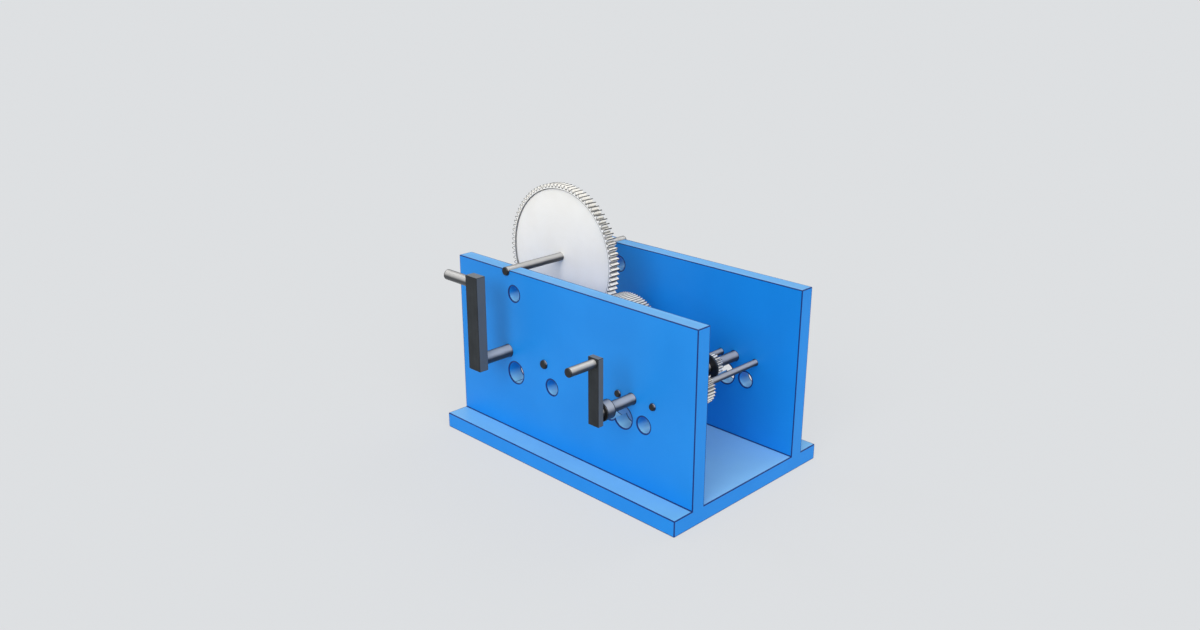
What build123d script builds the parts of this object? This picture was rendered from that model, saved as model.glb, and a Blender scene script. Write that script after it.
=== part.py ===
from build123d import *
from math import acos, cos, pi, radians, sin, tan
import os

# Dual crank gearbox, in millimetres. An open frame of one base and two upright
# walls carries two hand-cranked spur gear trains. +X runs along the walls, +Y
# goes from the front wall with the cranks to the rear wall, and +Z is up. The
# origin is the middle of the base's underside.

# Frame
frame_length = 300.0
base_width = 200.0
base_thickness = 15.0
wall_thickness = 15.0
wall_height = 160.0
wall_gap = 125.0
edge_break = 0.5

# Shafts, all square to the walls
crank_axis_height = 80.0
crank_1_x = -80.0
crank_2_x = 80.0
crank_1_shaft_diameter = 12.0
crank_2_shaft_diameter = 10.0
wheel_shaft_diameter = 8.0
light_shaft_diameter = 6.0
shaft_stick_out = 2.0
running_clearance = 0.05

# Spare bores, a second set lower down and nearer the middle of the frame
spare_shift = 10.0
spare_drop = 20.0
spare_bore_diameter = 15.0
spare_crank_bore_diameter = 21.0

# Teeth
coarse_module = 1.54
fine_module = 1.0
coarse_pressure_angle = radians(25.0)
fine_pressure_angle = radians(20.0)
addendum = 1.0
dedendum = 1.25
tooth_thinning = 0.07
wheel_flank_steps = 1
pinion_flank_steps = 2
most_pinion_teeth = 16
seat_clearance = 0.01

# Train 1, turned by crank 1
big_wheel_teeth = 90
narrow_pinion_teeth = 12
big_wheel_width = 10.0
big_wheel_rear_y = 0.0
wide_wheel_teeth = 82
wide_pinion_teeth = 18
wide_wheel_width = 20.0
wide_wheel_rear_y = 40.0
web_recess = 1.6
rim_under_teeth = 1.3

# Train 2, turned by crank 2
reduction_wheel_teeth = 30
front_pinion_teeth = 18
reduction_wheel_width = 10.0
reduction_wheel_rear_y = -14.0
step_up_pinion_teeth = 14
rear_pinion_teeth = 18
rear_pinion_width = 10.0
rear_pinion_rear_y = 34.0
step_up_side_gap = 0.5
flange_disc_diameter = 25.0
flange_disc_thickness = 2.0

# Crank 1
arm_1_width = 16.0
arm_1_depth = 10.0
arm_1_throw = 74.5
arm_1_below_axis = 8.5
arm_1_above_handle = 7.5
arm_1_stand_off = 31.5
arm_1_shaft_seat = 7.0
handle_1_diameter = 9.9
handle_1_length = 32.5
handle_1_spigot_diameter = 7.0
handle_1_spigot_length = 8.0

# Crank 2
arm_2_width = 12.0
arm_2_depth = 6.0
arm_2_throw = 45.0
arm_2_below_axis = 10.0
arm_2_above_handle = 5.0
arm_2_stand_off = 39.8
arm_2_shaft_seat = 4.0
handle_2_diameter = 8.0
handle_2_length = 28.0
handle_2_spigot_diameter = 6.0
handle_2_spigot_length = 4.0
collar_diameter = 17.0
collar_length = 10.0
collar_gap = 2.3
bar_edge_break = 0.3
handle_chamfer = 0.4

# Places worked out from the sizes above
wall_inner_y = wall_gap / 2
wall_outer_y = wall_inner_y + wall_thickness
wall_top_z = base_thickness + wall_height
shaft_end_y = wall_outer_y + shaft_stick_out
crank_axis_z = base_thickness + crank_axis_height
big_wheel_z = crank_axis_z + coarse_module * (big_wheel_teeth + narrow_pinion_teeth) / 2
wide_wheel_x = crank_1_x + fine_module * (wide_wheel_teeth + wide_pinion_teeth) / 2
reduction_x = crank_2_x + fine_module * (reduction_wheel_teeth + front_pinion_teeth) / 2
step_up_x = crank_2_x - fine_module * (step_up_pinion_teeth + rear_pinion_teeth) / 2
arm_1_rear_y = -wall_outer_y - arm_1_stand_off
arm_2_rear_y = -wall_outer_y - arm_2_stand_off


def upright(x, y, z, turn=0.0):
    """Plane square to the shafts at a point, facing the front, its X axis turned up by turn degrees."""
    return Plane(origin=(x, y, z), x_dir=(cos(radians(turn)), 0, sin(radians(turn))), z_dir=(0, -1, 0))


def involute(angle):
    """Involute function of a pressure angle in radians."""
    return tan(angle) - angle


def gear_corners(teeth, module, pressure_angle, tooth_on_axis):
    """Corners round a whole gear: flat tips, involute flanks in straight steps, a tooth or a gap on +X."""
    flank_steps = wheel_flank_steps if teeth > most_pinion_teeth else pinion_flank_steps
    pitch_radius = module * teeth / 2
    base_radius = pitch_radius * cos(pressure_angle)
    root_radius = pitch_radius - dedendum * module
    tip_radius = pitch_radius + addendum * module
    flank_start = max(base_radius, root_radius)
    tooth_half_angle = (pi * module / 2 - tooth_thinning) / (2 * pitch_radius)
    flank = []
    for step in range(flank_steps + 1):
        radius = tip_radius + (flank_start - tip_radius) * step / flank_steps
        roll = involute(pressure_angle) - involute(acos(min(1.0, base_radius / radius)))
        flank.append((radius, pi / teeth - tooth_half_angle - roll))
    if base_radius > root_radius:
        flank.append((root_radius, flank[-1][1]))
    gap = [(radius, -angle) for radius, angle in flank] + flank[::-1]
    corners = []
    for number in range(teeth):
        middle = 2 * pi * (number + (0.5 if tooth_on_axis else 0.0)) / teeth
        corners += [(radius * cos(middle + angle), radius * sin(middle + angle)) for radius, angle in gap]
    return corners


def spur_gear(teeth, module, pressure_angle, plane, width, bore_diameter, tooth_on_axis=True, recess=0.0):
    """Spur gear from its front plane backwards."""
    with BuildPart() as gear:
        with BuildSketch(plane):
            with BuildLine():
                Polyline(*gear_corners(teeth, module, pressure_angle, tooth_on_axis), close=True)
            make_face()
            Circle(bore_diameter / 2 + seat_clearance, mode=Mode.SUBTRACT)
        extrude(amount=-width)
        if recess > 0:
            web_radius = module * teeth / 2 - dedendum * module - rim_under_teeth
            for face_offset, inward in ((0.0, -recess), (-width, recess)):
                with BuildSketch(plane.offset(face_offset)):
                    Circle(web_radius)
                extrude(amount=inward, mode=Mode.SUBTRACT)
    return gear.part


def shaft(x, z, diameter, front_y, rear_y):
    """Plain round shaft along Y."""
    with BuildPart() as rod:
        with BuildSketch(upright(x, front_y, z)):
            Circle(diameter / 2)
        extrude(amount=front_y - rear_y)
    return rod.part


def save(part, name):
    """Label a finished piece and write it to its own file."""
    part.label = name
    export_step(part, f"parts/{name}.step")


os.makedirs("parts", exist_ok=True)

# Frame: base and walls in one piece, bored through both walls
running_bores = [
    (crank_1_x, crank_axis_z, crank_1_shaft_diameter),
    (wide_wheel_x, crank_axis_z, wheel_shaft_diameter),
    (step_up_x, crank_axis_z, light_shaft_diameter),
    (crank_2_x, crank_axis_z, crank_2_shaft_diameter),
    (reduction_x, crank_axis_z, light_shaft_diameter),
]
spare_bores = [
    (crank_1_x + spare_shift, big_wheel_z - spare_drop, spare_bore_diameter),
    (crank_1_x + spare_shift, crank_axis_z - spare_drop, spare_crank_bore_diameter),
    (wide_wheel_x + spare_shift, crank_axis_z - spare_drop, spare_bore_diameter),
    (step_up_x - spare_shift, crank_axis_z - spare_drop, spare_bore_diameter),
    (crank_2_x - spare_shift, crank_axis_z - spare_drop, spare_crank_bore_diameter),
    (reduction_x - spare_shift, crank_axis_z - spare_drop, spare_bore_diameter),
]
saddle_radius = wheel_shaft_diameter / 2 + running_clearance
with BuildPart() as frame:
    with BuildSketch(Plane.YZ.offset(-frame_length / 2)):
        with Locations((0, base_thickness / 2)):
            Rectangle(base_width, base_thickness)
        with Locations((0, base_thickness + wall_height / 2)):
            with GridLocations(wall_gap + wall_thickness, 0, 2, 1):
                Rectangle(wall_thickness, wall_height)
    extrude(amount=frame_length)
    outer_edges = frame.edges().group_by(Axis.Z)[-1] + frame.faces().sort_by(Axis.Z)[0].edges()
    chamfer(outer_edges, length=edge_break)
    with BuildSketch(upright(0, -wall_outer_y, 0)):
        for bore_x, bore_z, bore_diameter in running_bores:
            with Locations((bore_x, bore_z)):
                Circle(bore_diameter / 2 + running_clearance)
        for bore_x, bore_z, bore_diameter in spare_bores:
            with Locations((bore_x, bore_z)):
                Circle(bore_diameter / 2)
        with Locations((crank_1_x, big_wheel_z)):
            Circle(saddle_radius)
        with Locations((crank_1_x, (big_wheel_z + wall_top_z + saddle_radius) / 2)):
            Rectangle(2 * saddle_radius, wall_top_z + saddle_radius - big_wheel_z)
    extrude(amount=-2 * wall_outer_y, mode=Mode.SUBTRACT)
save(frame.part, "frame")

# Train 1: the crank's narrow pinion turns the big wheel, its wide pinion the wide wheel
big_wheel_front_y = big_wheel_rear_y - big_wheel_width
wide_wheel_front_y = wide_wheel_rear_y - wide_wheel_width
save(
    spur_gear(
        narrow_pinion_teeth, coarse_module, coarse_pressure_angle,
        upright(crank_1_x, big_wheel_front_y, crank_axis_z, 90.0),
        big_wheel_width, crank_1_shaft_diameter,
    ),
    "crank_1_narrow_pinion",
)
save(
    spur_gear(
        big_wheel_teeth, coarse_module, coarse_pressure_angle,
        upright(crank_1_x, big_wheel_front_y, big_wheel_z, -90.0),
        big_wheel_width, wheel_shaft_diameter, tooth_on_axis=False, recess=web_recess,
    ),
    "big_wheel",
)
save(
    spur_gear(
        wide_pinion_teeth, fine_module, fine_pressure_angle,
        upright(crank_1_x, wide_wheel_front_y, crank_axis_z),
        wide_wheel_width, crank_1_shaft_diameter,
    ),
    "crank_1_wide_pinion",
)
save(
    spur_gear(
        wide_wheel_teeth, fine_module, fine_pressure_angle,
        upright(wide_wheel_x, wide_wheel_front_y, crank_axis_z, 180.0),
        wide_wheel_width, wheel_shaft_diameter, tooth_on_axis=False,
    ),
    "wide_wheel",
)
save(shaft(crank_1_x, big_wheel_z, wheel_shaft_diameter, -shaft_end_y, shaft_end_y), "big_wheel_shaft")
save(shaft(wide_wheel_x, crank_axis_z, wheel_shaft_diameter, -shaft_end_y, shaft_end_y), "wide_wheel_shaft")

# Train 2: the crank's front pinion turns the reduction wheel, its rear pinion the step-up pinion
reduction_front_y = reduction_wheel_rear_y - reduction_wheel_width
rear_pinion_front_y = rear_pinion_rear_y - rear_pinion_width
step_up_width = rear_pinion_width - 2 * step_up_side_gap
save(
    spur_gear(
        front_pinion_teeth, fine_module, fine_pressure_angle,
        upright(crank_2_x, reduction_front_y, crank_axis_z),
        reduction_wheel_width, crank_2_shaft_diameter,
    ),
    "crank_2_front_pinion",
)
save(
    spur_gear(
        reduction_wheel_teeth, fine_module, fine_pressure_angle,
        upright(reduction_x, reduction_front_y, crank_axis_z, 180.0),
        reduction_wheel_width, light_shaft_diameter, tooth_on_axis=False,
    ),
    "reduction_wheel",
)
save(
    spur_gear(
        rear_pinion_teeth, fine_module, fine_pressure_angle,
        upright(crank_2_x, rear_pinion_front_y, crank_axis_z, 180.0),
        rear_pinion_width, crank_2_shaft_diameter,
    ),
    "crank_2_rear_pinion",
)
save(
    spur_gear(
        step_up_pinion_teeth, fine_module, fine_pressure_angle,
        upright(step_up_x, rear_pinion_front_y + step_up_side_gap, crank_axis_z),
        step_up_width, light_shaft_diameter, tooth_on_axis=False,
    ),
    "step_up_pinion",
)
save(shaft(reduction_x, crank_axis_z, light_shaft_diameter, -shaft_end_y, shaft_end_y), "reduction_shaft")
save(shaft(step_up_x, crank_axis_z, light_shaft_diameter, -shaft_end_y, shaft_end_y), "step_up_shaft")

# Flange disc against the front of the rear pinion
with BuildPart() as flange_disc:
    with BuildSketch(upright(crank_2_x, rear_pinion_front_y, crank_axis_z)):
        Circle(flange_disc_diameter / 2)
        Circle(crank_2_shaft_diameter / 2 + seat_clearance, mode=Mode.SUBTRACT)
    extrude(amount=flange_disc_thickness)
save(flange_disc.part, "crank_2_flange_disc")

# Collar on the shaft behind arm 2
collar_front_y = arm_2_rear_y + collar_gap
with BuildPart() as collar:
    with BuildSketch(upright(crank_2_x, collar_front_y, crank_axis_z)):
        Circle(collar_diameter / 2)
        Circle(crank_2_shaft_diameter / 2 + seat_clearance, mode=Mode.SUBTRACT)
    extrude(amount=-collar_length)
save(collar.part, "crank_2_collar")

# Crank shafts, each let into its arm from behind
save(
    shaft(crank_1_x, crank_axis_z, crank_1_shaft_diameter, arm_1_rear_y - arm_1_shaft_seat, shaft_end_y),
    "crank_1_shaft",
)
save(
    shaft(crank_2_x, crank_axis_z, crank_2_shaft_diameter, arm_2_rear_y - arm_2_shaft_seat, shaft_end_y),
    "crank_2_shaft",
)

# Crank 1 arm: a square-edged bar, with the handle let into its side
handle_1_z = crank_axis_z + arm_1_throw
arm_1_height = arm_1_below_axis + arm_1_throw + arm_1_above_handle
arm_1_middle_y = arm_1_rear_y - arm_1_depth / 2
arm_1_side_x = crank_1_x - arm_1_width / 2
with BuildPart() as arm_1:
    with BuildSketch(upright(crank_1_x, arm_1_rear_y, crank_axis_z - arm_1_below_axis + arm_1_height / 2)):
        Rectangle(arm_1_width, arm_1_height)
    extrude(amount=arm_1_depth)
    chamfer(arm_1.edges(), length=bar_edge_break)
    with BuildSketch(upright(crank_1_x, arm_1_rear_y, crank_axis_z)):
        Circle(crank_1_shaft_diameter / 2 + seat_clearance)
    extrude(amount=arm_1_shaft_seat, mode=Mode.SUBTRACT)
    with BuildSketch(Plane(origin=(arm_1_side_x, arm_1_middle_y, handle_1_z), z_dir=(-1, 0, 0))):
        Circle(handle_1_spigot_diameter / 2 + seat_clearance)
    extrude(amount=-handle_1_spigot_length, mode=Mode.SUBTRACT)
save(arm_1.part, "crank_1_arm")

# Crank 1 handle: a round bar with a spigot, pointing sideways along the walls
with BuildPart() as handle_1:
    with BuildSketch(Plane(origin=(arm_1_side_x, arm_1_middle_y, handle_1_z), z_dir=(-1, 0, 0))):
        Circle(handle_1_diameter / 2)
    extrude(amount=handle_1_length)
    chamfer(handle_1.edges().filter_by(GeomType.CIRCLE).sort_by(Axis.X)[0], length=handle_chamfer)
    with BuildSketch(Plane(origin=(arm_1_side_x, arm_1_middle_y, handle_1_z), z_dir=(1, 0, 0))):
        Circle(handle_1_spigot_diameter / 2)
    extrude(amount=handle_1_spigot_length)
save(handle_1.part, "crank_1_handle")

# Crank 2 arm: a thinner bar, with the handle let into its front
handle_2_z = crank_axis_z + arm_2_throw
arm_2_height = arm_2_below_axis + arm_2_throw + arm_2_above_handle
arm_2_front_y = arm_2_rear_y - arm_2_depth
with BuildPart() as arm_2:
    with BuildSketch(upright(crank_2_x, arm_2_rear_y, crank_axis_z - arm_2_below_axis + arm_2_height / 2)):
        Rectangle(arm_2_width, arm_2_height)
    extrude(amount=arm_2_depth)
    chamfer(arm_2.edges(), length=bar_edge_break)
    with BuildSketch(upright(crank_2_x, arm_2_rear_y, crank_axis_z)):
        Circle(crank_2_shaft_diameter / 2 + seat_clearance)
    extrude(amount=arm_2_shaft_seat, mode=Mode.SUBTRACT)
    with BuildSketch(upright(crank_2_x, arm_2_front_y, handle_2_z)):
        Circle(handle_2_spigot_diameter / 2 + seat_clearance)
    extrude(amount=-handle_2_spigot_length, mode=Mode.SUBTRACT)
save(arm_2.part, "crank_2_arm")

# Crank 2 handle: a round bar with a spigot, pointing straight out to the front
with BuildPart() as handle_2:
    with BuildSketch(upright(crank_2_x, arm_2_front_y, handle_2_z)):
        Circle(handle_2_diameter / 2)
    extrude(amount=handle_2_length)
    chamfer(handle_2.edges().filter_by(GeomType.CIRCLE).sort_by(Axis.Y)[0], length=handle_chamfer)
    with BuildSketch(upright(crank_2_x, arm_2_front_y, handle_2_z)):
        Circle(handle_2_spigot_diameter / 2)
    extrude(amount=-handle_2_spigot_length)
save(handle_2.part, "crank_2_handle")
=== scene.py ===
"""Looks of the dual crank gearbox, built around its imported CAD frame.

All lengths are in metres, in the frame of the CAD: +X along the walls, +Y from
the front wall to the rear wall, +Z up, origin in the middle of the underside.
"""

from __future__ import annotations

import logging
import math
from dataclasses import dataclass
from enum import Enum
from functools import reduce
from typing import Callable, Sequence

import bmesh
import bpy
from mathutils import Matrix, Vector


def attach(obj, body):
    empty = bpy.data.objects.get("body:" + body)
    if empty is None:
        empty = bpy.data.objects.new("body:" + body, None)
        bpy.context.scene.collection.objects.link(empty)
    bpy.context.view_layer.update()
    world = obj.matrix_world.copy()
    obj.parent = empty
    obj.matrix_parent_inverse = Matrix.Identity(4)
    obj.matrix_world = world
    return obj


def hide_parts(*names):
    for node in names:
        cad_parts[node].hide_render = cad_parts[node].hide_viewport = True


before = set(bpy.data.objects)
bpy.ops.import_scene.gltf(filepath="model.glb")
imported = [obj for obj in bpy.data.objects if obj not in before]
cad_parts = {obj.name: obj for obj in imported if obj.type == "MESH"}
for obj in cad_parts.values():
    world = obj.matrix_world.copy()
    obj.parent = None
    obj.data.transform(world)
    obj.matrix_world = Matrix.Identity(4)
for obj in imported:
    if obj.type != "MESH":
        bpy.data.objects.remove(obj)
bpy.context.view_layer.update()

LOG = logging.getLogger("gearbox")
MM = 0.001
ROUND_STEPS = 96
SMOOTH_ANGLE = math.radians(25.0)
SHARP_ANGLE = math.radians(40.0)
FLAT = 0.95  # share of a normal along an axis from which its face looks that way
SAME_PLACE = 0.001 * MM

Range = tuple[float, float]
Place = tuple[float, float, float]


class Axis(Enum):
    """The two directions that round pieces lie in."""

    ALONG_WALLS = "X"
    ACROSS_WALLS = "Y"

    @property
    def vector(self) -> Vector:
        """Unit vector of the direction."""
        return Vector((1, 0, 0)) if self is Axis.ALONG_WALLS else Vector((0, 1, 0))

    @property
    def turn(self) -> tuple[float, float, float]:
        """Rotation that lays an upright cylinder in the direction."""
        quarter = math.pi / 2
        return (0.0, quarter, 0.0) if self is Axis.ALONG_WALLS else (-quarter, 0.0, 0.0)


class Slot(Enum):
    """Material slots of the record."""

    FRAME = "frame_paint"
    GEAR = "gear_plastic"
    STEEL = "shaft_steel"
    DARK = "dark_steel"


def linear(code: str) -> tuple[float, float, float, float]:
    """Turn a screen colour into the linear colour that shaders take.

    Args:
        code: Six hexadecimal digits, red first.

    Returns:
        Linear red, green, blue and an alpha of 1.
    """
    shares = [int(code[i:i + 2], 16) / 255 for i in (0, 2, 4)]
    curve = [s / 12.92 if s <= 0.04045 else ((s + 0.055) / 1.055) ** 2.4 for s in shares]
    return (curve[0], curve[1], curve[2], 1.0)


class Val:
    """A shader value that takes part in Python arithmetic."""

    def __init__(self, tree: Tree, socket: bpy.types.NodeSocket) -> None:
        """Wrap one output socket of a tree."""
        self.tree = tree
        self.socket = socket

    def _math(self, operation: str, *others: Val | float, swap: bool = False) -> Val:
        """Add a Math node on this value and others, in the other order if swapped."""
        values: list[Val | float] = [self, *others]
        if swap:
            values.reverse()
        inputs = dict(enumerate(values))
        made = self.tree.node("ShaderNodeMath", {"operation": operation}, inputs)
        return Val(self.tree, made.outputs[0])

    def __add__(self, other: Val | float) -> Val:
        """Sum."""
        return self._math("ADD", other)

    def __sub__(self, other: Val | float) -> Val:
        """Difference."""
        return self._math("SUBTRACT", other)

    def __mul__(self, other: Val | float) -> Val:
        """Product."""
        return self._math("MULTIPLY", other)

    def __truediv__(self, other: Val | float) -> Val:
        """Quotient."""
        return self._math("DIVIDE", other)

    def __rsub__(self, other: float) -> Val:
        """Difference with a number first."""
        return self._math("SUBTRACT", other, swap=True)

    __radd__ = __add__
    __rmul__ = __mul__

    def abs(self) -> Val:
        """Size without its sign."""
        return self._math("ABSOLUTE")

    def root(self) -> Val:
        """Square root."""
        return self._math("SQRT")

    def fraction(self) -> Val:
        """What is left past the whole number below."""
        return self._math("FRACT")

    def angle(self, across: Val) -> Val:
        """Angle of the point that lies this high and that far across, in radians."""
        return self._math("ARCTAN2", across)

    def least(self, other: Val | float) -> Val:
        """The smaller of two values."""
        return self._math("MINIMUM", other)

    def most(self, other: Val | float) -> Val:
        """The larger of two values."""
        return self._math("MAXIMUM", other)

    def step(self, low: float, high: float) -> Val:
        """Rise smoothly from 0 at low to 1 at high.

        Args:
            low: Value at which the result is 0.
            high: Value at which the result is 1, above low.

        Returns:
            The eased share between the two.
        """
        made = self.tree.node(
            "ShaderNodeMapRange",
            {"interpolation_type": "SMOOTHSTEP"},
            {"Value": self, "From Min": low, "From Max": high},
        )
        return Val(self.tree, made.outputs["Result"])


class Tree:
    """The node tree of one material or of the world.

    The Mix node has sockets for every type of data, so those for colours go by number.
    """

    MIX_SHARE = 0
    MIX_FIRST = 6
    MIX_SECOND = 7
    MIX_RESULT = 2

    def __init__(self, owner: bpy.types.Material | bpy.types.World) -> None:
        """Start an empty tree on a material or world."""
        owner.use_nodes = True
        self.nodes = owner.node_tree.nodes
        self.links = owner.node_tree.links
        self.nodes.clear()

    def node(
        self, kind: str, settings: dict | None = None, values: dict | None = None
    ) -> bpy.types.Node:
        """Add one node.

        Args:
            kind: Type name of the node.
            settings: Attributes to set first.
            values: What each input socket gets, by name or number: a number,
                a tuple, a Val or another socket.

        Returns:
            The node.
        """
        made = self.nodes.new(kind)
        for name, value in (settings or {}).items():
            setattr(made, name, value)
        for key, value in (values or {}).items():
            if isinstance(value, Val):
                value = value.socket
            if isinstance(value, bpy.types.NodeSocket):
                self.links.new(value, made.inputs[key])
            else:
                made.inputs[key].default_value = value
        return made

    def _coordinate(self, output: str) -> tuple[Val, Val, Val]:
        """The three parts of one of the piece's coordinates."""
        coords = self.node("ShaderNodeTexCoord")
        split = self.node("ShaderNodeSeparateXYZ", values={0: coords.outputs[output]})
        x, y, z = (Val(self, part) for part in split.outputs)
        return x, y, z

    def place(self) -> tuple[Val, Val, Val]:
        """The point being shaded, in metres from the frame's origin."""
        return self._coordinate("Object")

    def facing(self) -> tuple[Val, Val, Val]:
        """The surface's direction in the piece's own axes."""
        return self._coordinate("Normal")

    def noise(self, scale: float, detail: float, roughness: float = 0.5) -> Val:
        """Cloudy pattern on object coordinates, about 0.5 on average."""
        where = self.node("ShaderNodeTexCoord").outputs["Object"]
        values = {"Vector": where, "Scale": scale, "Detail": detail, "Roughness": roughness}
        return Val(self, self.node("ShaderNodeTexNoise", values=values).outputs[0])

    def streaks(self, along: Val, per_metre: float) -> Val:
        """Fine lines square to one coordinate, about 0.5 on average."""
        values = {"W": along, "Scale": per_metre, "Detail": 2.0}
        made = self.node("ShaderNodeTexNoise", {"noise_dimensions": "1D"}, values)
        return Val(self, made.outputs[0])

    def mark(self, name: str) -> Val:
        """A painted attribute of the mesh, 0 where the mesh has none."""
        made = self.node("ShaderNodeAttribute", {"attribute_name": name})
        return Val(self, made.outputs["Fac"])

    def mix(self, share: Val | float, first, second) -> bpy.types.NodeSocket:
        """Blend two colours.

        Args:
            share: 0 for the first colour, 1 for the second.
            first: Colour or colour socket.
            second: Colour or colour socket.

        Returns:
            The blended colour's socket.
        """
        inputs = {self.MIX_SHARE: share, self.MIX_FIRST: first, self.MIX_SECOND: second}
        made = self.node("ShaderNodeMix", {"data_type": "RGBA"}, inputs)
        return made.outputs[self.MIX_RESULT]

    def bump(self, height: Val, depth: float) -> bpy.types.NodeSocket:
        """Bump from a height of 0 to 1 that stands for a depth in metres."""
        values = {"Strength": 1.0, "Distance": depth, "Height": height}
        return self.node("ShaderNodeBump", values=values).outputs[0]

    def surface(self, **values) -> None:
        """Finish the material with a Principled shader whose inputs are given by name."""
        named = {
            key.replace("_", " ").title().replace("Ior", "IOR"): value
            for key, value in values.items()
        }
        shader = self.node("ShaderNodeBsdfPrincipled", values=named)
        self.node("ShaderNodeOutputMaterial", values={0: shader.outputs[0]})


def axis_distance(tree: Tree, x: float, z: float) -> Val:
    """Distance of the shaded point from a line across the walls."""
    across_x, _, across_z = tree.place()
    dx = across_x - x
    dz = across_z - z
    return (dx * dx + dz * dz).root()


@dataclass(frozen=True)
class FramePaint:
    """Satin blue powder coat with dark lines along its edges and round its bores.

    Faces that look up carry a painted sheen that makes them paler, most of all low down and
    between the walls, and the up-facing floors of the bores carry it too. Each
    pair of numbers says where a change begins and where it is complete.
    """

    bores: tuple[Place, ...]
    colour: str = "148BE4"
    deep: str = "1087E0"
    edge: str = "002C74"
    # Painted sheen: the paler blues that up-facing faces are mixed towards, the second one
    # between the walls
    painted_sheen: str = "A2E2F8"
    channel_sheen: str = "A0DAFF"
    cloud_per_metre: float = 14.0
    cloud_range: Range = (0.35, 0.65)
    grain_per_metre: float = 60.0
    grain_share: float = 0.10
    sheen_share: float = 0.27
    low_sheen_share: float = 0.20
    low_heights: Range = (50 * MM, 150 * MM)
    channel_sheen_share: float = 0.22
    channel_sides: Range = (55 * MM, 70 * MM)
    bore_sheen_share: float = 0.45
    level_face: Range = (0.6, 0.95)
    bore_floor: Range = (-0.1, 0.7)
    wall_face: Range = (0.9, 0.95)
    round_wall: Range = (0.1, 0.2)
    rim_width: float = 1.3 * MM
    rim_depth: float = 1.1 * MM
    wall_middle: float = 70 * MM
    wall_half: float = 7.5 * MM
    frame_ends: Range = (140 * MM, 141 * MM)
    base_heights: Range = (20 * MM, 21 * MM)
    top_heights: Range = (174 * MM, 174.5 * MM)
    roughness: float = 0.45
    rough_cloud: float = 0.12
    rough_peel: float = 0.05
    specular: float = 0.3
    peel_per_metre: float = 900.0
    peel_depth: float = 0.02 * MM

    def material(self) -> bpy.types.Material:
        """Build the paint.

        Returns:
            The material.
        """
        made = bpy.data.materials.new("frame_paint")
        tree = Tree(made)
        _, across, height = tree.place()
        _, front, upward = tree.facing()
        cloud = tree.noise(self.cloud_per_metre, detail=4.0)
        grain = self.grain_share * tree.noise(self.grain_per_metre, detail=5.0)
        peel = tree.noise(self.peel_per_metre, detail=2.0)
        body = tree.mix(cloud.step(*self.cloud_range), linear(self.colour), linear(self.deep))

        # Painted sheen: up-facing faces mixed towards a paler blue, more so low down and between
        # the walls
        inside = 1.0 - across.abs().step(*self.channel_sides)
        low = 1.0 - height.step(*self.low_heights)
        sheen_amount = self.sheen_share + self.low_sheen_share * low + self.channel_sheen_share * inside + grain
        painted_sheen = tree.mix(inside, linear(self.painted_sheen), linear(self.channel_sheen))
        body = tree.mix(upward.step(*self.level_face) * sheen_amount, body, painted_sheen)

        bored = self._in_bores(tree, front)
        # Painted sheen on the up-facing floors of the bores
        bore_sheen = bored * upward.step(*self.bore_floor) * (self.bore_sheen_share + grain)
        body = tree.mix(bore_sheen, body, linear(self.painted_sheen))
        rims = (bored * self._mouth(across)).most(self._rings(tree, front))
        body = tree.mix(tree.mark("edge").most(rims), body, linear(self.edge))
        uneven = self.rough_cloud * (cloud - 0.5) + self.rough_peel * (peel - 0.5)
        tree.surface(
            base_color=body,
            roughness=self.roughness + uneven,
            specular_ior_level=self.specular,
            normal=tree.bump(peel, self.peel_depth),
        )
        return made

    def _in_bores(self, tree: Tree, front: Val) -> Val:
        """1 on the round walls of the bores, 0 elsewhere."""
        along, across, height = tree.place()
        off_middle = (across.abs() - self.wall_middle).abs()
        in_wall = 1.0 - off_middle.step(self.wall_half, self.wall_half + 0.1 * MM)
        off_ends = 1.0 - along.abs().step(*self.frame_ends)
        above_base = height.step(*self.base_heights)
        below_top = 1.0 - height.step(*self.top_heights)
        turned = 1.0 - front.abs().step(*self.round_wall)
        return turned * in_wall * off_ends * above_base * below_top

    def _mouth(self, across: Val) -> Val:
        """1 close to a face of a wall, 0 in its thickness."""
        depth = (across.abs() - self.wall_middle).abs()
        start = self.wall_half - self.rim_depth
        return depth.step(start, start + 0.2 * self.rim_depth)

    def _rings(self, tree: Tree, front: Val) -> Val:
        """1 on the rings round the empty bores in the walls' faces."""
        nearest = reduce(Val.least, (axis_distance(tree, x, z) - r for x, z, r in self.bores))
        ring = 1.0 - nearest.step(0.8 * self.rim_width, self.rim_width)
        return ring * front.abs().step(*self.wall_face)


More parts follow.
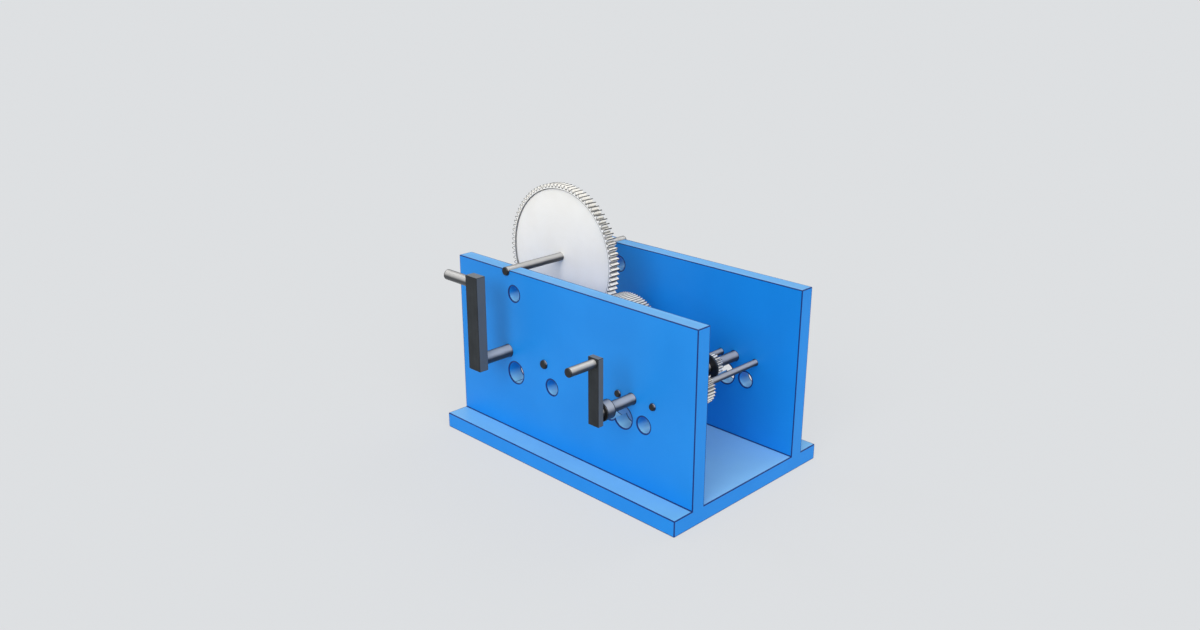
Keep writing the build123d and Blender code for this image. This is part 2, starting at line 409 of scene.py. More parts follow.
@dataclass(frozen=True)
class TurnedSteel:
    """Turned bar: lathe lines, two painted highlight bands opposite each other, painted shade
    on its ends, and dark rims.

    The offset is the place of the bar's axis beside its direction: its X if it lies
    across the walls, and its Y if it lies along them.
    """

    offset: float
    z: float
    axis: Axis = Axis.ACROSS_WALLS
    ends: tuple[float, ...] = ()
    # Painted highlight: colour of the two bands; body is the darker tone between them
    painted_highlight: str = "C0BEBB"
    body: str = "35373A"
    # Painted shade: colour of the bar's end faces
    end: str = "0E1012"
    edge: str = "0B0D0F"
    highlight_tilt: float = math.radians(38.0)
    highlight_range: Range = (0.34, 1.02)
    highlight_lines: float = 0.10
    highlight_smear: float = 0.16
    end_shade_share: float = 0.88
    end_shade_smear: float = 0.1
    rim_line: float = 1.3 * MM
    rim_share: float = 0.92
    smear_per_metre: float = 90.0
    metallic: float = 0.2
    roughness: float = 0.34
    rough_lines: float = 0.16
    rough_smear: float = 0.1
    rough_end: float = 0.12
    lines_per_metre: float = 2600.0
    line_depth: float = 0.006 * MM

    def material(self, name: str) -> bpy.types.Material:
        """Build the steel for one bar.

        Args:
            name: Name of the material.

        Returns:
            The material.
        """
        made = bpy.data.materials.new(name)
        tree = Tree(made)
        x, y, z = tree.place()
        along, beside, lean = (y, x, 1.0) if self.axis is Axis.ACROSS_WALLS else (x, y, -1.0)
        off, rise = beside - self.offset, z - self.z
        from_axis = (off * off + rise * rise).root()
        grooves = tree.streaks(along, self.lines_per_metre)
        circles = tree.streaks(from_axis, self.lines_per_metre)
        lines = 0.5 * (grooves + circles)
        smear = tree.noise(self.smear_per_metre, detail=4.0)

        # Painted highlight: two pale bands along the bar, opposite each other and tilted from the
        # top
        towards = off * (lean * math.sin(self.highlight_tilt)) + rise * math.cos(self.highlight_tilt)
        squared = (towards * towards) / (from_axis * from_axis)
        uneven = self.highlight_lines * (lines - 0.5) + self.highlight_smear * (smear - 0.5)
        highlight_band = (squared + uneven).step(*self.highlight_range)
        tone = tree.mix(highlight_band, linear(self.body), linear(self.painted_highlight))
        # Painted shade: the end faces are darkened to near black
        end = tree.mark("end")
        tone = tree.mix(end * (self.end_shade_share + self.end_shade_smear * smear), tone, linear(self.end))
        rim = tree.mark("edge")
        for place in self.ends:
            off_end = (along - place).abs()
            rim = rim.most(1.0 - off_end.step(0.7 * self.rim_line, self.rim_line))
        tone = tree.mix(rim * self.rim_share, tone, linear(self.edge))
        rough = self.rough_lines * (lines - 0.5) + self.rough_smear * (smear - 0.5)
        tree.surface(
            base_color=tone,
            metallic=self.metallic,
            roughness=self.roughness + rough + self.rough_end * end,
            normal=tree.bump(lines, self.line_depth),
        )
        return made


@dataclass(frozen=True)
class BlackSteel:
    """Blackened flat bar: dark wide faces, painted light on the narrow sides and more on the
    ends, rubbed wear and black edges.
    """

    # Painted light: side and end colours are lit copies of the dark face colour; the end colour
    # also tints the rubbed wear
    face: str = "181D21"
    side: str = "575D63"
    lit_end_and_wear: str = "6E747A"
    edge: str = "101316"
    facing: Range = (0.6, 0.9)
    wear: float = 0.10
    wear_lines: float = 0.35
    wear_range: Range = (0.38, 0.66)
    edge_share: float = 0.85
    cloud_per_metre: float = 45.0
    slant: float = 0.83
    metallic: float = 0.1
    roughness: float = 0.48
    rough_cloud: float = 0.14
    rough_lines: float = 0.08
    specular: float = 0.3
    lines_per_metre: float = 1500.0
    line_depth: float = 0.008 * MM

    def material(self, name: str) -> bpy.types.Material:
        """Build the black steel.

        Args:
            name: Name of the material.

        Returns:
            The material.
        """
        made = bpy.data.materials.new(name)
        tree = Tree(made)
        x, y, _ = tree.place()
        sideways, _, upward = tree.facing()
        lines = tree.streaks(x + self.slant * y, self.lines_per_metre)
        cloud = tree.noise(self.cloud_per_metre, detail=5.0, roughness=0.6)
        # Painted light: narrow sides paler than the wide faces, ends palest
        lit_sides = sideways.abs().step(*self.facing)
        body = tree.mix(lit_sides, linear(self.face), linear(self.side))
        body = tree.mix(upward.abs().step(*self.facing), body, linear(self.lit_end_and_wear))
        spread = self.wear_lines * lines + (1 - self.wear_lines) * cloud
        rubbed = spread.step(*self.wear_range)
        body = tree.mix(self.wear * rubbed, body, linear(self.lit_end_and_wear))
        body = tree.mix(tree.mark("edge") * self.edge_share, body, linear(self.edge))
        uneven = self.rough_cloud * (cloud - 0.5) + self.rough_lines * (lines - 0.5)
        tree.surface(
            base_color=body,
            metallic=self.metallic,
            roughness=self.roughness + uneven,
            specular_ior_level=self.specular,
            normal=tree.bump(lines, self.line_depth),
        )
        return made


@dataclass(frozen=True)
class Toothing:
    """Place and tooth form of one gear, seen from the front.

    The turn points to the middle of a tooth if the form is centred, and otherwise to
    the middle of a gap.
    """

    x: float
    z: float
    teeth: int
    module: float
    pressure: float
    turn: float
    centred: bool
    thinning: float = 0.07 * MM

    @property
    def pitch(self) -> float:
        """Pitch radius."""
        return self.module * self.teeth / 2

    @property
    def root(self) -> float:
        """Radius at the bottom of the gaps."""
        return self.pitch - 1.25 * self.module

    @property
    def tip(self) -> float:
        """Outside radius."""
        return self.pitch + self.module

    @property
    def flank_start(self) -> float:
        """Radius at which the involute flanks begin."""
        return max(self.root, self.pitch * math.cos(self.pressure))

    @property
    def step(self) -> float:
        """Angle from one tooth to the next."""
        return 2 * math.pi / self.teeth

    def half(self, radius: float) -> float:
        """Half the angle that a tooth fills.

        Args:
            radius: Radius at which it is measured, from the flank's start to the tip.

        Returns:
            The half angle in radians.
        """
        base = self.pitch * math.cos(self.pressure)
        local = math.acos(min(1.0, base / radius))
        roll = (math.tan(local) - local) - (math.tan(self.pressure) - self.pressure)
        return (math.pi * self.module / 2 - self.thinning) / (2 * self.pitch) - roll

    def past_flank(self, tree: Tree, radius: Val) -> Val:
        """Distance of the shaded point past the nearest tooth's flank.

        Args:
            tree: Tree that the nodes go into.
            radius: Distance of the point from the gear's axis.

        Returns:
            The distance in metres, below 0 inside the tooth.
        """
        x, _, z = tree.place()
        around = (z - self.z).angle(x - self.x) - self.turn
        phase = (around / self.step + (0.5 if self.centred else 0.0)).fraction()
        off_middle = (phase - 0.5).abs() * self.step
        climb = (radius - self.flank_start) / (self.tip - self.flank_start)
        start, end = self.half(self.flank_start), self.half(self.tip)
        half = start + (end - start) * climb.most(0.0).least(1.0)
        return (off_middle - half) * radius


@dataclass(frozen=True)
class GearPlastic:
    """White machined plastic of one gear: turned faces, dark tooth edges, painted shade in the
    tooth gaps and on the wall of the web's recess.

    Widths that grow with the teeth are given as shares of the module.
    """

    form: Toothing
    white: str = "FBF8F1"
    warm: str = "F6F2EA"
    flank: str = "FCF9F2"
    # Painted shade: colour for the tooth gaps and the recess wall
    painted_shade: str = "3C4045"
    line: str = "0C0F13"
    end_face: Range = (0.5, 0.9)
    white_range: Range = (0.35, 0.7)
    line_width: float = 0.50
    line_share: float = 0.94
    land_start: float = 0.2
    gap_shade_depths: Range = (0.1, 0.9)
    gap_shade_share: float = 0.62
    gap_shade_cloud: float = 0.3
    rim: float = 1.3 * MM
    rim_line: float = 0.5 * MM
    # rim_share: how much painted shade the recess wall takes
    rim_share: float = 0.8
    cloud_per_metre: float = 55.0
    gap_shade_per_metre: float = 400.0
    roughness: float = 0.5
    rough_cloud: float = 0.14
    gap_shade_gloss: float = 0.15
    specular: float = 0.4
    lines_per_metre: float = 1700.0
    line_depth: float = 0.01 * MM

    def material(self, name: str) -> bpy.types.Material:
        """Build the plastic for one gear.

        Args:
            name: Name of the material.

        Returns:
            The material.
        """
        made = bpy.data.materials.new(name)
        tree = Tree(made)
        radius = axis_distance(tree, self.form.x, self.form.z)
        ends = tree.facing()[1].abs().step(*self.end_face)
        sides = 1.0 - ends
        rings = tree.streaks(radius, self.lines_per_metre)
        cloud = tree.noise(self.cloud_per_metre, detail=4.0)
        whiter = (0.5 * rings + 0.5 * cloud).step(*self.white_range)
        body = tree.mix(whiter, linear(self.warm), linear(self.white))
        body = tree.mix(sides, body, linear(self.flank))

        # Painted shade: darker deep in the tooth gaps and on the inner wall of the web's recess
        gap_shade = sides * self._gap_shade(tree, radius)
        inner = self.form.root - self.rim
        recess_wall_shade = sides * (1.0 - radius.step(inner, inner + 0.4 * self.rim))
        body = tree.mix(gap_shade.most(self.rim_share * recess_wall_shade), body, linear(self.painted_shade))
        lines = self._lines(tree, radius, ends, sides)
        body = tree.mix(self.line_share * lines, body, linear(self.line))
        rough = self.roughness + self.rough_cloud * (cloud - 0.5) - self.gap_shade_gloss * gap_shade
        tree.surface(
            base_color=body,
            roughness=rough,
            specular_ior_level=self.specular,
            normal=tree.bump(rings, self.line_depth),
        )
        return made

    def _toothed(self, radius: Val) -> Val:
        """1 from the bottom of the gaps outwards, 0 inside it."""
        return radius.step(self.form.root - 0.3 * MM, self.form.root)

    def _gap_shade(self, tree: Tree, radius: Val) -> Val:
        """How much painted shade darkens the shaded point, most of all deep in the gaps."""
        start, end = (self.form.root + share * self.form.module for share in self.gap_shade_depths)
        low = 1.0 - radius.step(start, end)
        cloud = tree.noise(self.gap_shade_per_metre, detail=3.0)
        return self._toothed(radius) * low * (self.gap_shade_share + self.gap_shade_cloud * cloud)

    def _lines(self, tree: Tree, radius: Val, ends: Val, sides: Val) -> Val:
        """Where the dark lines run: round the teeth, round the rim and along the lands.

        Args:
            tree: Tree of the material.
            radius: Distance from the gear's axis.
            ends: 1 on the faces that look along the axis.
            sides: 1 on all the others.

        Returns:
            1 on the lines, 0 beside them.
        """
        form, width = self.form, self.line_width * self.form.module
        at_flank = 1.0 - form.past_flank(tree, radius).abs().step(0.5 * width, width)
        at_tip = radius.step(form.tip - width, form.tip - 0.5 * width)
        land = form.tip - self.land_start * form.module
        on_land = radius.step(land, land + 0.5 * self.land_start * form.module)
        off_rim = (radius - (form.root - self.rim)).abs()
        at_rim = 1.0 - off_rim.step(0.4 * self.rim_line, self.rim_line)
        outline = (self._toothed(radius) * at_flank.most(at_tip)).most(at_rim)
        return ends * outline + sides * on_land * at_flank


class Bench:
    """Shapes meshes with Blender's own operators, one piece at a time."""

    @staticmethod
    def clear() -> None:
        """Deselect everything."""
        bpy.ops.object.select_all(action="DESELECT")

    @staticmethod
    def pick(piece: bpy.types.Object) -> None:
        """Make one object the selected and active one."""
        Bench.clear()
        piece.select_set(True)
        bpy.context.view_layer.objects.active = piece

    @staticmethod
    def settle(name: str) -> bpy.types.Object:
        """Name the new object and move its place into its mesh."""
        piece = bpy.context.active_object
        piece.name = name
        piece.data.name = name
        bpy.ops.object.transform_apply(location=True, rotation=True, scale=True)
        return piece

    @staticmethod
    def cylinder(
        name: str, start: Vector, length: float, radius: float, axis: Axis
    ) -> bpy.types.Object:
        """Add a round bar.

        Args:
            name: Name of the piece.
            start: Centre of its low end.
            length: Length towards plus along its axis.
            radius: Radius.
            axis: Direction it lies in.

        Returns:
            The piece.
        """
        Bench.clear()
        bpy.ops.mesh.primitive_cylinder_add(
            vertices=ROUND_STEPS,
            radius=radius,
            depth=length,
            location=start + axis.vector * (length / 2),
            rotation=axis.turn,
        )
        return Bench.settle(name)

    @staticmethod
    def block(name: str, low: Sequence[float], high: Sequence[float]) -> bpy.types.Object:
        """Add a box between two corners."""
        Bench.clear()
        centre = [(a + b) / 2 for a, b in zip(low, high)]
        bpy.ops.mesh.primitive_cube_add(size=1.0, location=centre)
        bpy.context.active_object.scale = [b - a for a, b in zip(low, high)]
        return Bench.settle(name)

    @staticmethod
    def edit(piece: bpy.types.Object, mode: str) -> None:
        """Open a piece for editing with nothing selected, in VERT, EDGE or FACE mode."""
        Bench.pick(piece)
        bpy.ops.object.mode_set(mode="EDIT")
        bpy.ops.mesh.select_mode(type=mode)
        bpy.ops.mesh.select_all(action="DESELECT")

    @staticmethod
    def close() -> None:
        """Leave edit mode."""
        bpy.ops.object.mode_set(mode="OBJECT")

    @staticmethod
    def choose_faces(piece: bpy.types.Object, test: Callable[[Vector, Vector], bool]) -> None:
        """Select the faces of an open piece whose centre and normal pass a test."""
        mesh = bmesh.from_edit_mesh(piece.data)
        for face in mesh.faces:
            face.select_set(test(face.calc_center_median(), face.normal))
        bmesh.update_edit_mesh(piece.data)

    @staticmethod
    def choose_edges(piece: bpy.types.Object, test: Callable[[Vector, Vector], bool]) -> None:
        """Select the edges of an open piece whose two end points pass a test."""
        mesh = bmesh.from_edit_mesh(piece.data)
        for edge in mesh.edges:
            edge.select_set(test(edge.verts[0].co, edge.verts[1].co))
        bmesh.update_edit_mesh(piece.data)

    @staticmethod
    def cut(piece: bpy.types.Object, cutter: bpy.types.Object) -> None:
        """Take a cutter out of a piece and throw the cutter away."""
        Bench.pick(piece)
        modifier = piece.modifiers.new("cut", "BOOLEAN")
        modifier.operation = "DIFFERENCE"
        modifier.solver = "EXACT"
        modifier.object = cutter
        bpy.ops.object.modifier_apply(modifier=modifier.name)
        bpy.data.objects.remove(cutter)

    @staticmethod
    def break_edges(piece: bpy.types.Object, width: float) -> None:
        """Chamfer every sharp edge."""
        Bench.pick(piece)
        modifier = piece.modifiers.new("edges", "BEVEL")
        modifier.limit_method = "ANGLE"
        modifier.angle_limit = SHARP_ANGLE
        modifier.width = width
        modifier.segments = 1
        bpy.ops.object.modifier_apply(modifier=modifier.name)

    @staticmethod
    def smooth(piece: bpy.types.Object) -> None:
        """Smooth the round faces and keep the flat ones crisp."""
        Bench.pick(piece)
        bpy.ops.object.shade_smooth_by_angle(angle=SMOOTH_ANGLE)

    @staticmethod
    def paint(piece: bpy.types.Object, name: str, test: Callable[[Vector], bool]) -> None:
        """Mark faces for the shaders: 1 where the normal passes a test, 0 elsewhere."""
        layer = piece.data.attributes.new(name, "FLOAT", "FACE")
        for index, face in enumerate(piece.data.polygons):
            layer.data[index].value = float(test(face.normal))


def hand_over(
    piece: bpy.types.Object, body: str, node: str, material: bpy.types.Material
) -> None:
    """Dress a finished piece and put it in its CAD node's place.

    Args:
        piece: The finished piece.
        body: CAD body that it rides on.
        node: CAD node that it stands for.
        material: Its material.
    """
    piece.data.materials.clear()
    piece.data.materials.append(material)
    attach(piece, body)
    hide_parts(node)
    LOG.info("piece %s on %s: %d faces", piece.name, body, len(piece.data.polygons))


@dataclass(frozen=True)
class Rod:
    """A round bar of turned steel, chamfered at its plain ends."""

    name: str
    body: str
    start: Place
    length: float
    radius: float
    axis: Axis = Axis.ACROSS_WALLS
    chamfer: float = 0.4 * MM
    spigot_radius: float = 0.0
    spigot_length: float = 0.0

    @property
    def slot(self) -> Slot:
        """Record slot of its finish."""
        return Slot.STEEL

    @property
    def ends(self) -> tuple[float, ...]:
        """Places of its plain ends along its axis."""
        low = Vector(self.start).dot(self.axis.vector)
        return (low,) if self.spigot_length > 0 else (low, low + self.length)

    def _squareness(self, normal: Vector) -> float:
        """How squarely a face looks along the bar, from 0 to 1."""
        return abs(normal.dot(self.axis.vector))

    def build(self) -> bpy.types.Object:
        """Model the bar.

        Returns:
            The finished piece.
        """
        start = Vector(self.start)
        bar = Bench.cylinder(f"{self.name}_bar", start, self.length, self.radius, self.axis)
        if self.spigot_length > 0:
            self._add_spigot(bar)
        Bench.edit(bar, "EDGE")
        Bench.choose_edges(bar, lambda a, b: self._on_rim(a) and self._on_rim(b))
        bpy.ops.mesh.bevel(offset=self.chamfer, segments=1, affect="EDGES")
        Bench.close()
        Bench.smooth(bar)
        Bench.paint(bar, "end", lambda normal: self._squareness(normal) > FLAT)
        Bench.paint(bar, "edge", lambda normal: 1 - FLAT < self._squareness(normal) < FLAT)
        return bar

    def _on_rim(self, point: Vector) -> bool:
        """Whether a point lies on the rim of one of the plain ends."""
        depth = point.dot(self.axis.vector)
        off = point - Vector(self.start)
        across = off - self.axis.vector * off.dot(self.axis.vector)
        on_rim = across.length > 0.98 * self.radius
        return on_rim and any(abs(depth - end) < SAME_PLACE for end in self.ends)

    def _add_spigot(self, bar: bpy.types.Object) -> None:
        """Inset the far end face and pull the smaller disc out as a spigot."""
        Bench.edit(bar, "FACE")
        Bench.choose_faces(bar, lambda centre, normal: normal.dot(self.axis.vector) > FLAT)
        bpy.ops.mesh.inset(thickness=self.radius - self.spigot_radius)
        reach = self.axis.vector * self.spigot_length
        bpy.ops.mesh.extrude_region_move(TRANSFORM_OT_translate={"value": tuple(reach)})
        Bench.close()

    def finish(self) -> bpy.types.Material:
        """Steel whose lathe lines run round this bar."""
        x, y, z = self.start
        offset = x if self.axis is Axis.ACROSS_WALLS else y
        return TurnedSteel(offset, z, self.axis, self.ends).material(f"steel_{self.name}")

    def make(self) -> None:
        """Model the bar, dress it and put it in place."""
        hand_over(self.build(), self.body, self.name, self.finish())


@dataclass(frozen=True)
class Ring(Rod):
    """A short turned ring that sits on a shaft: a collar or a disc."""

    bore: float = 5.01 * MM
    dark: bool = False

    @property
    def slot(self) -> Slot:
        """Record slot of its finish."""
        return Slot.DARK if self.dark else Slot.STEEL

    def build(self) -> bpy.types.Object:
        """Model the ring.

        Returns:
            The finished piece.
        """
        bar = super().build()
        Bench.edit(bar, "FACE")
        Bench.choose_faces(bar, lambda centre, normal: self._squareness(normal) > FLAT)
        bpy.ops.mesh.inset(thickness=self.radius - self.chamfer - self.bore, use_individual=True)
        bpy.ops.mesh.bridge_edge_loops()
        Bench.close()
        Bench.smooth(bar)
        return bar

    def finish(self) -> bpy.types.Material:
        """Bright steel, or black steel with the same lathe lines."""
        x, _, z = self.start
        if self.dark:
            # The dark ring gets the same painted highlight bands, in darker tones
            dark = TurnedSteel(x, z, self.axis, painted_highlight="3C4044", body="1E2124")
            return dark.material(f"steel_{self.name}")
        return super().finish()


@dataclass
class Arm:
    """A blackened flat bar between a crank's shaft and its handle."""

    name: str
    body: str
    low: Place
    high: Place
    shaft: Rod
    handle: Rod
    seat_clearance: float = 0.01 * MM
    seat_overlap: float = 1 * MM
    edge_break: float = 0.35 * MM

    def make(self) -> None:
        """Model the bar with its two blind seats, dress it and put it in place."""
        bar = Bench.block(f"{self.name}_bar", self.low, self.high)
        Bench.break_edges(bar, self.edge_break)
        for rod in (self.shaft, self.handle):
            self._seat(bar, rod)
        Bench.smooth(bar)
        Bench.paint(bar, "edge", lambda normal: max(abs(part) for part in normal) < FLAT)
        finish = BlackSteel().material(f"black_{self.name}")
        hand_over(bar, self.body, self.name, finish)

    def _seat(self, bar: bpy.types.Object, rod: Rod) -> None:
        """Bore the blind hole that a rod's end or spigot sits in."""
        start, length, radius = Vector(rod.start), rod.length, rod.radius
        if rod.spigot_length > 0:
            start += rod.axis.vector * (rod.length - self.seat_overlap)
            length, radius = rod.spigot_length + self.seat_overlap, rod.spigot_radius
        cutter = Bench.cylinder("cutter", start, length, radius + self.seat_clearance, rod.axis)
        Bench.cut(bar, cutter)


@dataclass
class Frame:
    """Base plate and both upright walls in one piece, bored through both walls."""

    half_length: float = 150 * MM
    half_width: float = 100 * MM
    base_top: float = 15 * MM
    wall_top: float = 175 * MM
    wall_inner: float = 62.5 * MM
    wall_outer: float = 77.5 * MM
    edge_break: float = 0.4 * MM
    line_width: float = 0.45 * MM
    clearance: float = 0.05 * MM
    square_face: float = 0.9999
    saddle: Place = (-80 * MM, 173.54 * MM, 4 * MM)
    running: tuple[Place, ...] = (
        (-80 * MM, 95 * MM, 6 * MM),
        (-30 * MM, 95 * MM, 4 * MM),
        (64 * MM, 95 * MM, 3 * MM),
        (80 * MM, 95 * MM, 5 * MM),
        (104 * MM, 95 * MM, 3 * MM),
    )
    spare: tuple[Place, ...] = (
        (-70 * MM, 153.54 * MM, 7.5 * MM),
        (-70 * MM, 75 * MM, 10.5 * MM),
        (-20 * MM, 75 * MM, 7.5 * MM),
        (54 * MM, 75 * MM, 7.5 * MM),
        (70 * MM, 75 * MM, 10.5 * MM),
        (94 * MM, 75 * MM, 7.5 * MM),
    )

    def make(self) -> None:
        """Model the frame, dress it and put it in place."""
        body = Bench.block(
            "frame_body",
            (-self.half_length, -self.half_width, 0.0),
            (self.half_length, self.half_width, self.base_top),
        )
        self._raise_walls(body)
        Bench.break_edges(body, self.edge_break)
        self._bore(body)
        self._line_edges(body)
        Bench.smooth(body)
        hand_over(body, "frame", "frame", FramePaint(self.spare).material())

    def _raise_walls(self, body: bpy.types.Object) -> None:
        """Divide the base across its width and pull two strips of its top up into walls."""
        for place in (-self.wall_outer, -self.wall_inner, self.wall_inner, self.wall_outer):
            Bench.edit(body, "FACE")
            bpy.ops.mesh.select_all(action="SELECT")
            bpy.ops.mesh.bisect(plane_co=(0, place, 0), plane_no=(0, 1, 0))
            Bench.close()
        Bench.edit(body, "FACE")
        Bench.choose_faces(
            body,
            lambda centre, normal: normal.z > FLAT
            and self.wall_inner < abs(centre.y) < self.wall_outer,
        )
        rise = (0, 0, self.wall_top - self.base_top)
        bpy.ops.mesh.extrude_region_move(TRANSFORM_OT_translate={"value": rise})
        bpy.ops.mesh.select_all(action="SELECT")
        bpy.ops.mesh.dissolve_limited(angle_limit=math.radians(1.0))
        Bench.close()

    def _bore(self, body: bpy.types.Object) -> None:
        """Cut every bore and the two open saddles through both walls."""
        reach, axis = self.half_width, Axis.ACROSS_WALLS
        grown = [(x, z, r + self.clearance) for x, z, r in (*self.running, self.saddle)]
        for x, z, radius in (*grown, *self.spare):
            start = Vector((x, -reach, z))
            Bench.cut(body, Bench.cylinder("cutter", start, 2 * reach, radius, axis))
        x, z, radius = grown[-1]
        low, high = (x - radius, -reach, z), (x + radius, reach, self.wall_top + radius)
        Bench.cut(body, Bench.block("cutter", low, high))

    def _line_edges(self, body: bpy.types.Object) -> None:
        """Inset every flat face, and mark the narrow band round it and the chamfers as edge."""
        Bench.edit(body, "FACE")
        Bench.choose_faces(
            body, lambda centre, normal: max(abs(part) for part in normal) > self.square_face
        )
        bpy.ops.mesh.inset(thickness=self.line_width)
        Bench.close()
        inner = {face.index for face in body.data.polygons if face.select}
        LOG.info("frame: %d flat faces inside their edge bands", len(inner))
        layer = body.data.attributes.new("edge", "FLOAT", "FACE")
        for index, face in enumerate(body.data.polygons):
            plain = index in inner or self._in_bore(face.center, face.normal)
            layer.data[index].value = 0.0 if plain else 1.0

    def _in_bore(self, centre: Vector, normal: Vector) -> bool:
        """Whether a face belongs to the round wall of a bore or saddle."""
        middle, slack = (self.wall_inner + self.wall_outer) / 2, 0.2 * MM
        if abs(normal.y) > 0.1 or abs(abs(centre.y) - middle) > 1 * MM:
            return False
        return any(
            math.hypot(centre.x - x, centre.z - z) < radius + slack
            for x, z, radius in (*self.running, *self.spare, self.saddle)
        )


@dataclass
class CrankOne:
    """The left crank: handle pointing sideways along the walls."""

    body: str = "crank_1"
    shaft: Rod = Rod(
        "crank_1_shaft", "crank_1", (-80 * MM, -116 * MM, 95 * MM), 195.5 * MM, 6 * MM,
    )
    handle: Rod = Rod(
        "crank_1_handle", "crank_1", (-120.5 * MM, -114 * MM, 169.5 * MM), 32.5 * MM, 4.95 * MM,
        Axis.ALONG_WALLS, spigot_radius=3.5 * MM, spigot_length=8 * MM,
    )
    arm_low: Place = (-88 * MM, -119 * MM, 86.5 * MM)
    arm_high: Place = (-72 * MM, -109 * MM, 177 * MM)

    def make(self) -> None:
        """Build the shaft, the handle and the arm between them."""
        self.shaft.make()
        self.handle.make()
        Arm("crank_1_arm", self.body, self.arm_low, self.arm_high, self.shaft, self.handle).make()


@dataclass
class CrankTwo:
    """The right crank: handle pointing to the front, collar behind the arm."""

    body: str = "crank_2"
    shaft: Rod = Rod(
        "crank_2_shaft", "crank_2", (80 * MM, -121.3 * MM, 95 * MM), 200.8 * MM, 5 * MM,
    )
    handle: Rod = Rod(
        "crank_2_handle", "crank_2", (80 * MM, -151.3 * MM, 140 * MM), 28 * MM, 4 * MM,
        spigot_radius=3 * MM, spigot_length=4 * MM,
    )
    collar: Ring = Ring(
        "crank_2_collar", "crank_2", (80 * MM, -115 * MM, 95 * MM), 10 * MM, 8.5 * MM,
    )
    disc: Ring = Ring(
        "crank_2_flange_disc", "crank_2", (80 * MM, 22 * MM, 95 * MM), 2 * MM, 12.5 * MM,
        chamfer=0.25 * MM, dark=True,
    )
    arm_low: Place = (74 * MM, -123.3 * MM, 85 * MM)
    arm_high: Place = (86 * MM, -117.3 * MM, 145 * MM)

    def make(self) -> None:
        """Build the shaft with its collar and disc, the handle, and the arm between them."""
        for rod in (self.shaft, self.handle, self.collar, self.disc):
            rod.make()
        Arm("crank_2_arm", self.body, self.arm_low, self.arm_high, self.shaft, self.handle).make()


@dataclass
class WheelShafts:
    """The four plain shafts that carry the driven wheels."""

    rear: float = 79.5 * MM
    shafts: tuple[tuple[str, str, float, float, float], ...] = (
        ("big_wheel_shaft", "big_wheel", -80 * MM, 173.54 * MM, 4 * MM),
        ("wide_wheel_shaft", "wide_wheel", -30 * MM, 95 * MM, 4 * MM),
        ("reduction_shaft", "reduction_wheel", 104 * MM, 95 * MM, 3 * MM),
        ("step_up_shaft", "step_up_pinion", 64 * MM, 95 * MM, 3 * MM),
    )

    def make(self) -> None:
        """Build each shaft."""
        for name, body, x, z, radius in self.shafts:
            Rod(name, body, (x, -self.rear, z), 2 * self.rear, radius).make()


@dataclass
class Gear:
    """One toothed CAD node, kept as it is and given its plastic."""

    node: str
    form: Toothing

    def dress(self) -> None:
        """Give the CAD node its finish."""
        plastic = GearPlastic(self.form).material(f"plastic_{self.node}")
        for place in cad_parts[self.node].material_slots:
            place.material = plastic
        LOG.info("dressed %s", self.node)


@dataclass
class Gears:
    """All eight toothed pieces of both trains."""

    coarse: float = 1.54 * MM
    fine: float = 1.0 * MM
    coarse_pressure: float = math.radians(25.0)
    fine_pressure: float = math.radians(20.0)
    crank_1_x: float = -80 * MM
    wide_x: float = -30 * MM
    crank_2_x: float = 80 * MM
    reduction_x: float = 104 * MM
    step_up_x: float = 64 * MM
    axis_z: float = 95 * MM
    big_z: float = 173.54 * MM

    def _coarse(self, z: float, teeth: int, turn: float, centred: bool) -> Toothing:
        """Coarse teeth above the left crank."""
        place, turned = (self.crank_1_x, z), math.radians(turn)
        return Toothing(*place, teeth, self.coarse, self.coarse_pressure, turned, centred)

    def _fine(self, x: float, teeth: int, turn: float, centred: bool) -> Toothing:
        """Fine teeth at the height of the cranks."""
        place, turned = (x, self.axis_z), math.radians(turn)
        return Toothing(*place, teeth, self.fine, self.fine_pressure, turned, centred)

    def make(self) -> None:
        """Dress each gear."""
        for gear in (
            Gear("crank_1_narrow_pinion", self._coarse(self.axis_z, 12, 90.0, True)),
            Gear("big_wheel", self._coarse(self.big_z, 90, -90.0, False)),
            Gear("crank_1_wide_pinion", self._fine(self.crank_1_x, 18, 0.0, True)),
            Gear("wide_wheel", self._fine(self.wide_x, 82, 180.0, False)),
            Gear("crank_2_front_pinion", self._fine(self.crank_2_x, 18, 0.0, True)),
            Gear("reduction_wheel", self._fine(self.reduction_x, 30, 180.0, False)),
            Gear("crank_2_rear_pinion", self._fine(self.crank_2_x, 18, 180.0, True)),
            Gear("step_up_pinion", self._fine(self.step_up_x, 14, 0.0, False)),
        ):
            gear.dress()


@dataclass(frozen=True)
class Lamp:
    """A broad soft light from one side, even over the whole floor."""

    name: str
    side: Place
    strength: float
    spread: float = math.radians(36.0)

    def make(self) -> None:
        """Hang the lamp so that it shines at the origin from its side."""
        data = bpy.data.lights.new(self.name, "SUN")
        data.energy = self.strength * math.pi
        data.angle = self.spread
        lamp = bpy.data.objects.new(self.name, data)
        bpy.context.scene.collection.objects.link(lamp)
        lamp.location = self.side
        lamp.rotation_euler = (-Vector(self.side)).to_track_quat("-Z", "Y").to_euler()


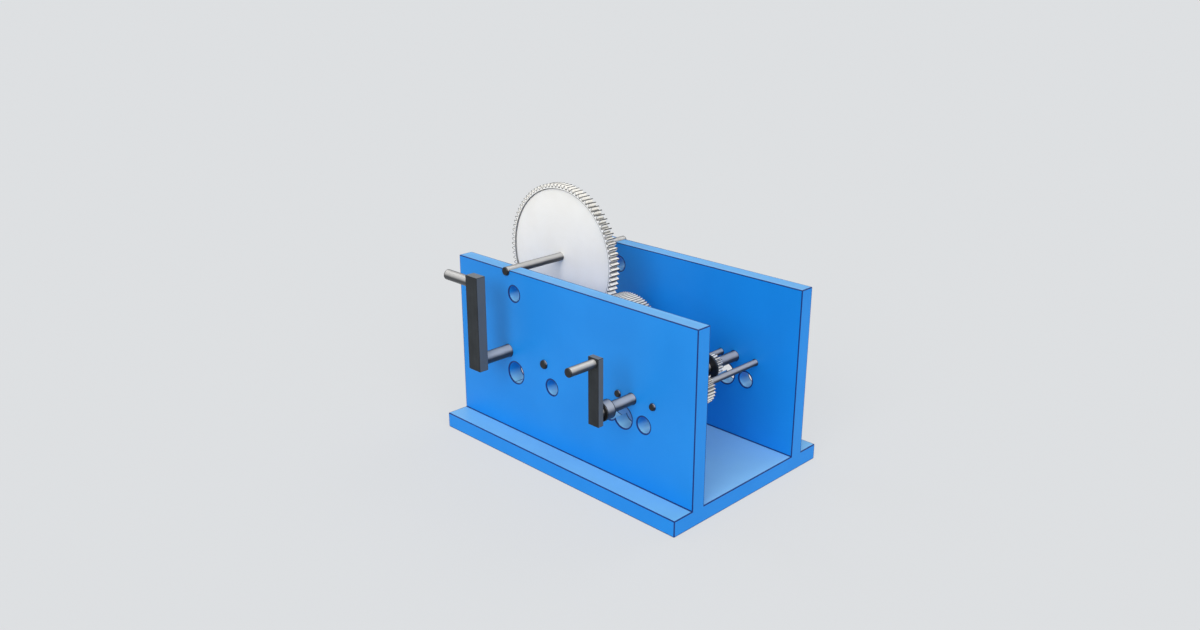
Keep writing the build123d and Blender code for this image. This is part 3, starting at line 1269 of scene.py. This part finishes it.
@dataclass
class Studio:
    """Pale floor, soft light and the camera."""

    backdrop: str = "DFE1E3"
    floor_side: float = 80.0
    floor_gap: float = 0.2 * MM
    floor_hold: float = 0.8
    floor_paint: str = "D6D8DA"
    daylight: float = 0.70
    eye: Place = (0.63020, -0.66641, 0.45179)
    look: Place = (-0.66694, 0.66796, -0.33018)
    view_angle: float = 60.0
    sensor: float = 36.0
    lamps: tuple[Lamp, ...] = (
        Lamp("from_front", (0.3, -1.0, 0.62), 0.42),
        Lamp("from_right", (1.0, -0.35, 0.62), 0.32),
        Lamp("high_behind", (0.08, 0.67, 0.74), 0.09, math.radians(20.0)),
        Lamp("high_left", (-0.67, -0.08, 0.74), 0.08, math.radians(20.0)),
    )

    def make(self) -> None:
        """Set up the floor, the world, the lamps, the camera and the view settings."""
        self._floor()
        self._world()
        for lamp in self.lamps:
            lamp.make()
        self._camera()
        bpy.context.scene.view_settings.view_transform = "Standard"

    @staticmethod
    def _seen(tree: Tree) -> Val:
        """1 for rays from the camera and for those that a shiny or clear surface sends on."""
        rays = tree.node("ShaderNodeLightPath")
        camera = Val(tree, rays.outputs["Is Camera Ray"])
        glossy = Val(tree, rays.outputs["Is Glossy Ray"])
        through = Val(tree, rays.outputs["Is Transmission Ray"])
        return camera.most(glossy).most(through)

    def _floor(self) -> None:
        """Lay a wide floor that shows the backdrop's colour and keeps a soft shadow."""
        Bench.clear()
        bpy.ops.mesh.primitive_plane_add(size=self.floor_side, location=(0, 0, -self.floor_gap))
        floor = Bench.settle("floor")
        made = bpy.data.materials.new("floor")
        tree = Tree(made)
        lit = tree.node("ShaderNodeBsdfDiffuse", values={"Color": linear(self.floor_paint)})
        paint = {"Color": linear(self.backdrop), "Strength": 1.0}
        glow = tree.node("ShaderNodeEmission", values=paint)
        share = self._seen(tree) * self.floor_hold
        shaders = {0: share, 1: lit.outputs[0], 2: glow.outputs[0]}
        mixed = tree.node("ShaderNodeMixShader", values=shaders)
        tree.node("ShaderNodeOutputMaterial", values={0: mixed.outputs[0]})
        floor.data.materials.append(made)

    def _world(self) -> None:
        """Even light all round, which the camera and the metal see as the backdrop."""
        world = bpy.data.worlds.new("studio")
        bpy.context.scene.world = world
        tree = Tree(world)
        strength = self.daylight + (1.0 - self.daylight) * self._seen(tree)
        light = {"Color": linear(self.backdrop), "Strength": strength}
        sky = tree.node("ShaderNodeBackground", values=light)
        tree.node("ShaderNodeOutputWorld", values={0: sky.outputs[0]})

    def _camera(self) -> None:
        """Set the camera where the photograph was taken from."""
        data = bpy.data.cameras.new("camera")
        data.sensor_width = self.sensor
        data.lens = self.sensor / 2 / math.tan(math.radians(self.view_angle / 2))
        camera = bpy.data.objects.new("camera", data)
        bpy.context.scene.collection.objects.link(camera)
        camera.location = self.eye
        camera.rotation_euler = Vector(self.look).to_track_quat("-Z", "Y").to_euler()
        bpy.context.scene.camera = camera


def main() -> None:
    """Build every sub-assembly in order, then the studio."""
    logging.basicConfig(level=logging.INFO, format="%(name)s: %(message)s")
    for part in (Frame(), CrankOne(), CrankTwo(), WheelShafts(), Gears(), Studio()):
        part.make()
        LOG.info("made %s", type(part).__name__)


if __name__ == "__main__":
    main()
